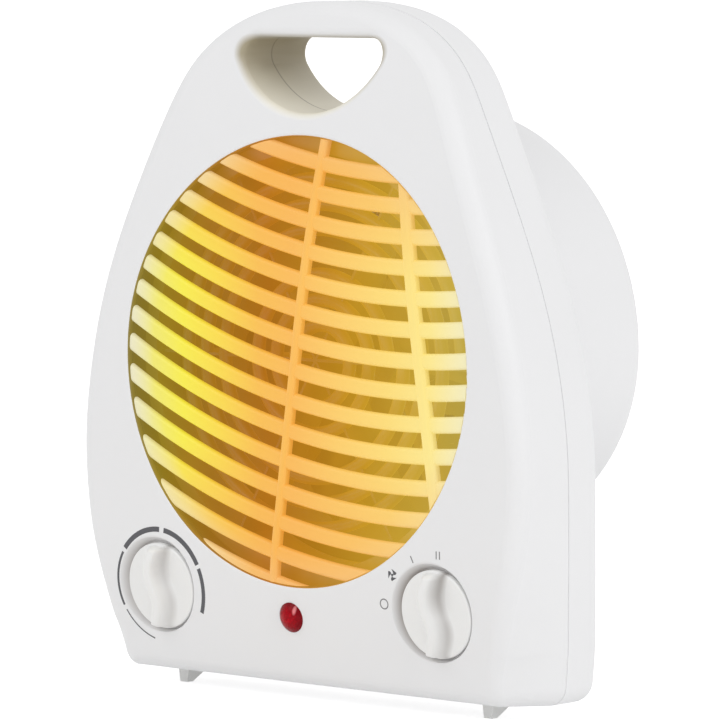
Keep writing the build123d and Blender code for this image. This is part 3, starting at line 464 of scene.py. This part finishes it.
finishOf = {
    "white_plastic": shellWhite, "grille_plastic": litSlat, "knob_plastic": knobWhite,
    "zinc_steel": zinc, "duct_steel": litDuct, "lamination_steel": litMotor,
    "coil_wire": litCoil, "mica": litMica, "copper_wire": litMotor,
    "sintered_bronze": bronze, "tab_brass": bronze, "black_plastic": darkPlastic,
    "grey_plastic": gripGrey, "red_lens": redLens("redLens"), "lamp_glass": gripGrey,
}
ownFinish = {
    "front_foot_left": footPaintedLight, "front_foot_right": footPaintedLight,
    "rear_foot_left": footPaintedLight, "rear_foot_right": footPaintedLight,
    "rear_grille": insideLitPlastic("rearGrilleWhite"),
    "fan_impeller": litFan, "motor_bridge": litMotor, "motor_bobbin": litMotor,
    "front_bearing_bracket": litMotor, "rear_bearing_bracket": litMotor,
    "thermal_cutout": litMotor, "thermal_fuse": litMotor, "fan_clip": litMotor,
    "motor_shaft": litMotor, "bridge_screws": litMotor, "duct_screws": litMotor,
}
slotOf = {part["node"]: part["material_slot"] for part in frame["record"]["subparts"]}
for name, part in nodes.items():
    part.data.materials.clear()
    part.data.materials.append(ownFinish.get(name, finishOf[slotOf[name]]))

# Camera at the photograph's angle
shot = {"azimuth": 41.0, "elevation": 4.41, "distance": 1.912, "lens": 272.75,
        "target": (0.0306, -0.041, 0.12487)}
azimuth, elevation = math.radians(shot["azimuth"]), math.radians(shot["elevation"])
back = Vector((math.sin(azimuth) * math.cos(elevation),
               -math.cos(azimuth) * math.cos(elevation), math.sin(elevation)))
camera = bpy.data.objects.new("camera", bpy.data.cameras.new("camera"))
bpy.context.scene.collection.objects.link(camera)
camera.data.lens = shot["lens"]
camera.data.sensor_width = 36
camera.data.clip_end = 100
camera.location = Vector(shot["target"]) + back * shot["distance"]
camera.rotation_mode = "QUATERNION"
camera.rotation_quaternion = (-back).to_track_quat("-Z", "Y")
bpy.context.scene.camera = camera

# Light, air and floor, in metres
studio = {"aim": (0, 0, 0.12), "airLight": 0.75,
          "keyLight": {"place": (-0.6, -1.6, 1.4), "size": (1.2, 1.2), "power": 6.7},
          "sideLight": {"place": (1.8, -0.3, 0.9), "size": (1.0, 1.4), "power": 8.3},
          "floorHalf": 30, "floorColour": linear(232, 232, 232), "floorSeen": 0.54,
          "floorGlow": 0.1}


def softbox(name):
    box = studio[name]
    lamp = bpy.data.lights.new(name, "AREA")
    lamp.shape = "RECTANGLE"
    lamp.size, lamp.size_y = box["size"]
    lamp.energy = box["power"]
    holder = bpy.data.objects.new(name, lamp)
    bpy.context.scene.collection.objects.link(holder)
    holder.location = box["place"]
    holder.rotation_mode = "QUATERNION"
    aim = Vector(studio["aim"]) - Vector(box["place"])
    holder.rotation_quaternion = aim.to_track_quat("-Z", "Y")


softbox("keyLight")
softbox("sideLight")

world = bpy.data.worlds.new("studio")
bpy.context.scene.world = world
air = Shader(world)
sky = air.add("ShaderNodeBackground", values={
    "Color": (1, 1, 1, 1), "Strength": air.spread(air.seen(), 0, 1, studio["airLight"], 1.0)})
air.add("ShaderNodeOutputWorld", values={"Surface": sky.out("Background")})

half = studio["floorHalf"]
floorMesh = bpy.data.meshes.new("floor")
floorMesh.from_pydata([(-half, -half, 0), (half, -half, 0), (half, half, 0), (-half, half, 0)],
                      [], [(0, 1, 2, 3)])
floor = bpy.data.objects.new("floor", floorMesh)
bpy.context.scene.collection.objects.link(floor)
paper = newShader("floorPaper")
floorMesh.materials.append(paper.finish(
    Base_Color=studio["floorColour"], Roughness=0.9, Emission_Color=(1, 1, 1, 1),
    Emission_Strength=paper.seen() * studio["floorSeen"] + studio["floorGlow"],
))
bpy.context.scene.view_settings.view_transform = "Standard"
print("stage lit")


def finished(name, body, slot, material, mesh, *stands):
    piece = bpy.data.objects.new(name, mesh)
    bpy.context.scene.collection.objects.link(piece)
    mesh.materials.clear()
    mesh.materials.append(material)
    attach(piece, body)
    if stands:
        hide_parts(*stands)
    return piece


# Front grille: bars swept along their centre lines, on a ring behind the opening's edge
grille = {"count": 15, "topGap": 195.0, "pitch": 10.5, "growth": 0.07, "arc": 275.0, "lowX": 52.0,
          "slatHeight": 5.8, "slatDepth": 3.4, "slatCorner": 1.6, "recess": 0.8,
          "ribs": (((8.3, 187.5), (-10.45, 48.0), 3.8), ((48.6, 185.3), (64.2, 81.5), 5.2)),
          "ribDepth": 3.8, "ribProud": 0.4, "step": 0.25, "thin": 8,  # every eighth step is kept
          "reach": 86.0, "clip": 79.75, "clipY": -30.0, "clipDepth": 100.0}


def barTree(name, height, depth, corner, finish):
    group = bpy.data.node_groups.new(name, "GeometryNodeTree")
    sockets = {}
    for title, kind in (("Lines", "Geometry"), ("Bar height", "Float"), ("Bar depth", "Float"),
                        ("Corner radius", "Float"), ("Corner steps", "Int"),
                        ("Finish", "Material")):
        made = group.interface.new_socket(title, in_out="INPUT", socket_type="NodeSocket" + kind)
        sockets[title] = made.identifier
    group.interface.new_socket("Bars", in_out="OUTPUT", socket_type="NodeSocketGeometry")
    tree = Tree(group)
    given = tree.add("NodeGroupInput")
    curve = tree.add("GeometryNodeMeshToCurve", values={"Mesh": given.out("Lines")})
    facing = tree.add("GeometryNodeSetCurveNormal", {"mode": "FREE"},
                      {"Curve": curve.out("Curve"), "Normal": (0, -1, 0)})
    section = tree.add("GeometryNodeCurvePrimitiveQuadrilateral", values={
        "Width": given.out("Bar depth"), "Height": given.out("Bar height")})
    rounded = tree.add("GeometryNodeFilletCurve", {"mode": "POLY"}, {
        "Curve": section.out("Curve"), "Radius": given.out("Corner radius"),
        "Count": given.out("Corner steps")})
    sweep = tree.add("GeometryNodeCurveToMesh", values={
        "Curve": facing.out("Curve"), "Profile Curve": rounded.out("Curve"), "Fill Caps": True})
    realize = tree.add("GeometryNodeRealizeInstances", values={"Geometry": sweep.out("Mesh")})
    coat = tree.add("GeometryNodeSetMaterial", values={
        "Geometry": realize.out("Geometry"), "Material": given.out("Finish")})
    tree.add("NodeGroupOutput", values={"Bars": coat.out("Geometry")})
    values = {"Bar height": height * mm, "Bar depth": depth * mm, "Corner radius": corner * mm,
              "Corner steps": 5, "Finish": finish}
    return group, {sockets[title]: value for title, value in values.items()}


def grown(lines, group, values):
    edges, points = [], []
    for line in lines:
        first = len(points)
        points += [Vector(point) * mm for point in line]
        edges += [(first + i, first + i + 1) for i in range(len(line) - 1)]
    guide = bpy.data.meshes.new("guide")
    guide.from_pydata(points, edges, [])
    holder = bpy.data.objects.new("guide", guide)
    bpy.context.scene.collection.objects.link(holder)
    modifier = holder.modifiers.new("grow", "NODES")
    modifier.node_group = group
    for identifier, value in values.items():
        modifier[identifier] = value
    ready = holder.evaluated_get(bpy.context.evaluated_depsgraph_get())
    mesh = bpy.data.meshes.new_from_object(ready)
    bpy.data.objects.remove(holder)
    return mesh


def smoothed(mesh, angle=35):
    shape = bmesh.new()
    shape.from_mesh(mesh)
    bmesh.ops.remove_doubles(shape, verts=shape.verts, dist=1e-6)
    bmesh.ops.recalc_face_normals(shape, faces=shape.faces)
    for part in shape.faces:
        part.smooth = True
    for edge in shape.edges:
        edge.smooth = edge.calc_face_angle(0) < math.radians(angle)
    shape.to_mesh(mesh)
    shape.free()
    return mesh


def insideOutlet(points):
    return [(x, y, z) for x, y, z in points if math.hypot(x, z - outlet["z"]) < grille["reach"]]


def trimmed(mesh, radius):  # ends cut to the opening's circle
    drill = bmesh.new()
    bmesh.ops.create_cone(drill, cap_ends=True, segments=outlet["steps"], radius1=radius * mm,
                          radius2=radius * mm, depth=grille["clipDepth"] * mm)
    bmesh.ops.rotate(drill, verts=drill.verts, matrix=Matrix.Rotation(math.pi / 2, 3, "X"))
    bmesh.ops.translate(drill, verts=drill.verts,
                        vec=(0, grille["clipY"] * mm, outlet["z"] * mm))
    circle = bpy.data.meshes.new("round")
    drill.to_mesh(circle)
    drill.free()
    cutter, holder = (bpy.data.objects.new("trim", part) for part in (circle, mesh))
    for piece in (cutter, holder):
        bpy.context.scene.collection.objects.link(piece)
    modifier = holder.modifiers.new("trim", "BOOLEAN")
    modifier.operation, modifier.solver, modifier.object = "INTERSECT", "EXACT", cutter
    ready = holder.evaluated_get(bpy.context.evaluated_depsgraph_get())
    result = bpy.data.meshes.new_from_object(ready)
    for piece in (cutter, holder):
        bpy.data.objects.remove(piece)
    return result


def swept(name, lines, height, depth):
    group, values = barTree(name, height, depth, grille["slatCorner"], litSlat)
    return smoothed(trimmed(smoothed(grown(lines, group, values)), grille["clip"]))


slatLines = []
steps = int(2 * grille["reach"] / grille["step"])
for index in range(grille["count"]):
    low = grille["topGap"] - grille["pitch"] * (index + 0.5) - grille["growth"] * index ** 2 / 2
    line = []
    for i in range(steps + 1):
        x = -grille["reach"] + i * grille["step"]
        z = low + grille["arc"] - math.sqrt(grille["arc"] ** 2 - (x - grille["lowX"]) ** 2)
        line.append((x, faceDepth(z) + grille["recess"] + grille["slatDepth"] / 2, z))
    line = insideOutlet(line)
    if len(line) > 2 * grille["thin"]:
        slatLines.append(line[::grille["thin"]])
slatMesh = swept("sweptSlat", slatLines, grille["slatHeight"], grille["slatDepth"])
finished("grilleSlats", "housing", "grille_plastic", litSlat, slatMesh, "front_grille")
for number, ((topX, topZ), (lowX, lowZ), width) in enumerate(grille["ribs"]):
    line = []
    for i in range(-steps, 2 * steps):
        x, z = topX + (lowX - topX) * i / steps, topZ + (lowZ - topZ) * i / steps
        line.append((x, faceDepth(z) + grille["ribProud"] + grille["ribDepth"] / 2, z))
    line = insideOutlet(line)
    ribMesh = swept("sweptRib", [line[::grille["thin"]]], width, grille["ribDepth"])
    finished("grilleRib%d" % (number + 1), "housing", "grille_plastic", litSlat, ribMesh)

ringSteps = outlet["steps"]
shape = bmesh.new()
loops = []
for radius, depth in ((outlet["ringInner"], outlet["ringSunk"]),
                      (outlet["ringOuter"], outlet["ringSunk"]),
                      (outlet["ringOuter"], None), (outlet["ringInner"], None)):
    loop = []
    for i in range(ringSteps):
        turn = 2 * math.pi * i / ringSteps
        x, z = radius * math.cos(turn), outlet["z"] + radius * math.sin(turn)
        y = outlet["back"] if depth is None else faceDepth(z) + depth
        loop.append(shape.verts.new(Vector((x, y, z)) * mm))
    loops.append(loop)
for a, b in zip(loops, loops[1:] + loops[:1]):
    for i in range(ringSteps):
        j = (i + 1) % ringSteps
        shape.faces.new((a[i], a[j], b[j], b[i]))
ringMesh = bpy.data.meshes.new("grilleRing")
shape.to_mesh(ringMesh)
shape.free()
finished("grilleRing", "housing", "grille_plastic", litRing, smoothed(ringMesh))
print("grille grown:", len(slatLines), "slats")

# Knobs: a disc with a low S-shaped grip across it
knob = {"radius": 15.8, "base": 2.1, "rimRound": 0.7, "crest": 5.8, "crestEnd": 4.4,
        "gripHalf": 3.3, "swing": 1.6, "wave": 12.3, "flank": 2.4, "endRound": 1.8,
        "rimTurns": (22.5, 45, 67.5, 90), "crease": 50,
        "hollow": 0.6, "hollowPlace": 1.6, "hollowWidth": 0.7,
        # the shade on the flank: where it begins and ends, over what width, and how deep it is
        "shadeStart": 0.25, "shadeRise": 0.95, "shadeEnd": 2.0, "shadeFall": 0.65,
        "shade": 0.6, "shadeWaist": 0.12, "waistHalf": 3, "shadeLift": 0.2,
        "leftShade": 0.6, "rightShade": 0.95, "rings": 90, "steps": 180}


def panelFrame(x, z):
    lean = math.asin((face["chinZ"] - z) / face["chinRadius"])
    origin = Vector((x, faceDepth(z), z))
    out = Vector((0, -math.cos(lean), -math.sin(lean)))
    up = Vector((0, -math.sin(lean), math.cos(lean)))
    return origin, Vector((1, 0, 0)), up, out


def gripSide(u, v):  # 0 on the crest's line, 1 at the foot of the right flank
    return u / knob["gripHalf"] + knob["swing"] / knob["gripHalf"] * math.sin(
        math.pi * v / knob["wave"])


def gripHeight(u, v):
    half = knob["radius"] - knob["rimRound"]
    away = math.hypot(u, v)
    if away >= half:
        return 0.0
    side = gripSide(u, v)
    crest = knob["crest"] - (knob["crest"] - knob["crestEnd"]) * (v / half) ** 2
    ends = math.sqrt(1 - max(0.0, 1 - (half - away) / knob["endRound"]) ** 2)
    grip = crest * ends / (1 + abs(side) ** (2 * knob["flank"]))
    # a hollow beside the grip, on the right above and on the left below
    place = math.copysign(knob["hollowPlace"], v)
    beside = math.exp(-((side - place) / knob["hollowWidth"]) ** 2)
    hollow = knob["hollow"] * beside * abs(math.sin(math.pi * v / half)) * ends
    return grip - hollow


def gripShade(u, v):  # deepens down the right flank and ends at its foot
    side = gripSide(u, v)
    rise = min(1.0, max(0.0, (side - knob["shadeStart"]) / knob["shadeRise"])) ** 1.4
    fall = min(1.0, max(0.0, (knob["shadeEnd"] - side) / knob["shadeFall"]))
    depth = knob["shade"] - knob["shadeWaist"] * math.exp(-(v / knob["waistHalf"]) ** 2)
    return rise * fall * (depth + knob["shadeLift"] * v / knob["radius"])


def knobMesh(name, x, depth):
    origin, right, up, out = panelFrame(x, dish["z"])
    shape = bmesh.new()
    shade = shape.verts.layers.float.new("shade")

    def vert(u, v, w):
        spot = shape.verts.new((origin + right * u + up * v + out * w) * mm)
        spot[shade] = depth * gripShade(u, v)
        return spot

    inner = knob["radius"] - knob["rimRound"]
    centre = vert(0, 0, gripHeight(0, 0))
    loops = []
    for ring in range(1, knob["rings"] + 1):
        r = inner * ring / knob["rings"]
        loops.append([])
        for i in range(knob["steps"]):
            turn = 2 * math.pi * i / knob["steps"]
            u, v = r * math.cos(turn), r * math.sin(turn)
            loops[-1].append(vert(u, v, gripHeight(u, v)))
    rim = [(inner + knob["rimRound"] * math.sin(a), -knob["rimRound"] * (1 - math.cos(a)))
           for a in (math.radians(degrees) for degrees in knob["rimTurns"])]
    for r, w in rim + [(knob["radius"], -knob["base"])]:
        loops.append([])
        for i in range(knob["steps"]):
            turn = 2 * math.pi * i / knob["steps"]
            u, v = r * math.cos(turn), r * math.sin(turn)
            rise = gripHeight(u * inner / r, v * inner / r) * max(0, 1 + w / knob["rimRound"])
            loops[-1].append(vert(u, v, w + rise))
    for i in range(knob["steps"]):
        j = (i + 1) % knob["steps"]
        shape.faces.new((centre, loops[0][i], loops[0][j]))
        for a, b in zip(loops, loops[1:]):
            shape.faces.new((a[i], b[i], b[j], a[j]))
    shape.faces.new(list(reversed(loops[-1])))
    mesh = bpy.data.meshes.new(name)
    shape.to_mesh(mesh)
    shape.free()
    return smoothed(mesh, knob["crease"])


for name, body, x, depth, stand in (
        ("thermostatGrip", "thermostat", -dish["x"], knob["leftShade"], "thermostat_knob"),
        ("selectorGrip", "selector", dish["x"], knob["rightShade"], "selector_knob")):
    finished(name, body, "knob_plastic", knobWhite, knobMesh(name, x, depth), stand)
print("knobs shaped")

# Printed dial marks: thin strips that follow the face
marks = {"skin": 0.04, "dashRadius": 21.0,
         "dashes": ((253, 209, 0.5), (204, 147, 1.0), (142, 88, 1.9), (82, 26, 1.9),
                    (22, -24, 1.7)),
         "off": (23.5, 175, 1.75, 0.42), "fan": (22.8, 146, 2.2), "one": (21.3, 117, 2.7, 0.42),
         "two": (21.4, 84, 2.8, 0.42), "twoGap": 1.5, "pieces": 6,
         # the fan's blades: where each edge ends and how far it bows, in degrees
         "bladeFront": (76, 34), "bladeRear": (4, -34), "bladeRoot": 0.15, "firstBlade": 20,
         "hub": 0.12, "hubStroke": 0.2}


def printed(name, dialX, strips, finish):
    lean = math.cos(math.asin((face["chinZ"] - dish["z"]) / face["chinRadius"]))
    shape = bmesh.new()
    for left, right in strips:
        rows = []
        for (u0, v0), (u1, v1) in zip(left, right):
            row = []
            for u, v, lift in ((u0, v0, 1), (u1, v1, 1), (u1, v1, -1), (u0, v0, -1)):
                z = dish["z"] + v * lean
                y = faceDepth(z) - lift * marks["skin"]
                row.append(shape.verts.new(Vector((dialX + u, y, z)) * mm))
            rows.append(row)
        for a, b in zip(rows, rows[1:]):
            for i in range(4):
                j = (i + 1) % 4
                shape.faces.new((a[i], a[j], b[j], b[i]))
        if (Vector(left[0]) - Vector(left[-1])).length > 1e-6:
            shape.faces.new(rows[0])
            shape.faces.new(list(reversed(rows[-1])))
    mesh = bpy.data.meshes.new(name)
    shape.to_mesh(mesh)
    shape.free()
    finished(name, "housing", "knob_plastic", finish, smoothed(mesh))


def arcStrip(centre, radius, start, stop, width):
    steps = max(6, int(abs(stop - start) / 4))
    turns = [math.radians(start + (stop - start) * i / steps) for i in range(steps + 1)]
    return tuple([(centre[0] + r * math.cos(t), centre[1] + r * math.sin(t)) for t in turns]
                 for r in (radius - width / 2, radius + width / 2))


def lineStrip(middle, length, turn, width):
    along = Vector((math.cos(turn), math.sin(turn))) * length / 2
    aside = Vector((-math.sin(turn), math.cos(turn))) * width / 2
    count = marks["pieces"]
    line = [Vector(middle) + along * (2 * i / count - 1) for i in range(count + 1)]
    return [tuple(p - aside) for p in line], [tuple(p + aside) for p in line]


def bladeStrip(centre, size, turn):
    front, rear = [], []
    for i in range(marks["pieces"] + 1):
        share = i / marks["pieces"]
        for edge, (lean, bulge) in ((front, marks["bladeFront"]), (rear, marks["bladeRear"])):
            a = math.radians(turn + lean * share + bulge * math.sin(math.pi * share) / 2)
            r = size * (marks["bladeRoot"] + (1 - marks["bladeRoot"]) * share)
            edge.append((centre[0] + r * math.cos(a), centre[1] + r * math.sin(a)))
    return front, rear


def dialPoint(radius, angle):
    turn = math.radians(angle)
    return radius * math.cos(turn), radius * math.sin(turn)


dashes = [arcStrip((0, 0), marks["dashRadius"], a, b, w) for a, b, w in marks["dashes"]]
printed("thermostatScale", -dish["x"], dashes, printGrey)
radius, angle, size, stroke = marks["off"]
signs = [arcStrip(dialPoint(radius, angle), size, 0, 360, stroke)]
radius, angle, size = marks["fan"]
middle = dialPoint(radius, angle)
blades = [bladeStrip(middle, size, 120 * k + marks["firstBlade"]) for k in range(3)]
blades.append(arcStrip(middle, size * marks["hub"], 0, 360, size * marks["hubStroke"]))
printed("fanSign", dish["x"], blades, printGrey)
radius, angle, length, stroke = marks["one"]
signs.append(lineStrip(dialPoint(radius, angle), length, math.radians(angle), stroke))
radius, angle, length, stroke = marks["two"]
middle = Vector(dialPoint(radius, angle))
for side in (-1, 1):
    shift = Vector((side * marks["twoGap"] / 2, 0))
    signs.append(lineStrip(middle + shift, length, math.radians(90), stroke))
printed("selectorSigns", dish["x"], signs, markGrey)
print("dial marks printed")
